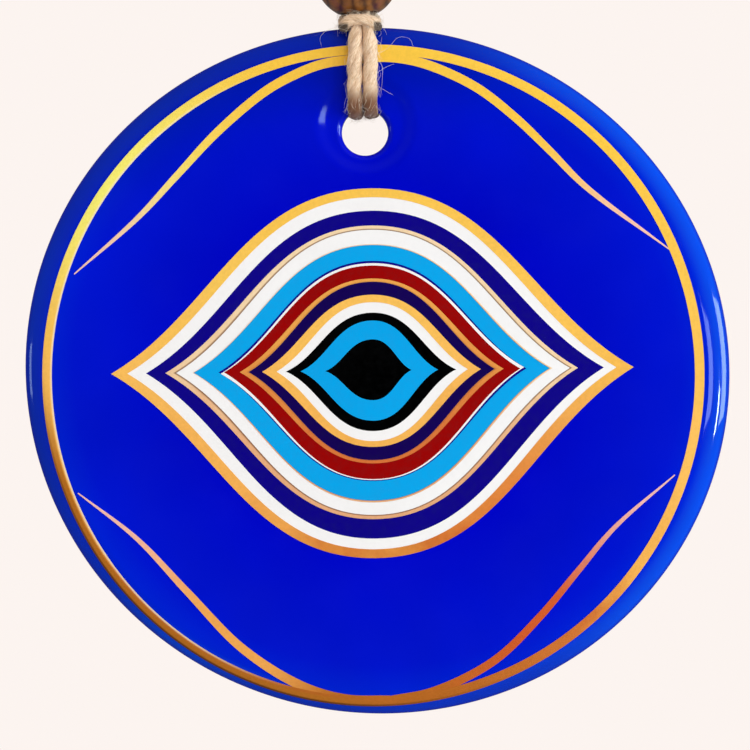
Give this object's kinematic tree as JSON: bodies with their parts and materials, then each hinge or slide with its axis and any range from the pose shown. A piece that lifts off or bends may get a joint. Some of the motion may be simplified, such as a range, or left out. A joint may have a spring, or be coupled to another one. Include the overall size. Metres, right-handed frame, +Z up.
{
  "type": "evil eye wall hanging",
  "caption": "Round cobalt glass wall hanging with a gold and enamel eye picture, a hole near its rim, a jute cord hitched through it, a wooden bead and a hanging loop.",
  "frame": {"origin": "where a nail or hook bears on the inside of the cord loop's crown, which is the hanging point", "axes": "+Z up, the picture faces -Y, the flat back faces +Y, +X to the viewer's right"},
  "size_m": [0.1518, 0.018, 0.2321],
  "materials": {
    "cobalt_glass": "polished, soft fire-rounded rim",
    "gold_lustre": "satin fired gold film",
    "copper_lustre": "satin fired copper-gold film",
    "white_enamel": "smooth fired enamel",
    "navy_enamel": "smooth fired enamel",
    "dark_navy_enamel": "smooth fired enamel",
    "turquoise_enamel": "smooth fired enamel",
    "red_enamel": "smooth fired enamel",
    "black_enamel": "smooth fired enamel",
    "bead_wood": "varnished brown wood",
    "jute": "twisted natural fibre"
  },
  "bodies": {
    "root": {"cord_crown": "jute"},
    "loop": {"cord_loop_left": "jute", "cord_loop_right": "jute"},
    "knot": {"stop_knot": "jute", "cord_tail_left": "jute", "cord_tail_right": "jute"},
    "sling": {"cord_front_left": "jute", "cord_front_right": "jute", "cord_hitch": "jute"},
    "bead": {"wooden_bead": "bead_wood"},
    "disc": {"glass_disc": "cobalt_glass", "border_gold": "gold_lustre", "eye_gold_outline": "gold_lustre", "eye_white_outer": "white_enamel", "eye_navy_outer": "navy_enamel", "eye_copper_line": "copper_lustre", "eye_white_middle": "white_enamel", "eye_copper_hairline": "copper_lustre", "eye_turquoise_outer": "turquoise_enamel", "eye_navy_hairline": "navy_enamel", "eye_white_hairline": "white_enamel", "eye_red": "red_enamel", "eye_orange_gold_line": "copper_lustre", "eye_dark_navy": "dark_navy_enamel", "eye_gold_inner": "gold_lustre", "eye_white_inner": "white_enamel", "eye_black_line": "black_enamel", "eye_turquoise_iris": "turquoise_enamel", "eye_pupil": "black_enamel"}
  },
  "joints": [
    {"name": "side_swing", "type": "hinge", "parent": "root", "child": "loop", "pos_m": [0, 0, 0], "axis": [0, 1, 0], "range_deg": [-45, 45], "deforming": ["cord_loop_left", "cord_loop_right"]},
    {"name": "loop_twist", "type": "hinge", "parent": "loop", "child": "knot", "pos_m": [0, 0, -0.0485], "axis": [0, 0, 1], "range_deg": [-90, 90], "stiffness_Nm_per_rad": 0.002, "deforming": ["cord_loop_left", "cord_loop_right"]},
    {"name": "forward_swing", "type": "hinge", "parent": "knot", "child": "sling", "pos_m": [0, 0, -0.054], "axis": [1, 0, 0], "range_deg": [-30, 30]},
    {"name": "bead_slide", "type": "slide", "parent": "sling", "child": "bead", "axis": [0, 0, 1], "range_m": [0, 0.003]},
    {"name": "disc_rock", "type": "hinge", "parent": "sling", "child": "disc", "pos_m": [0, 0, -0.101], "axis": [0, 1, 0], "range_deg": [-10, 10], "deforming": ["cord_front_left", "cord_front_right", "cord_hitch"]}
  ]
}
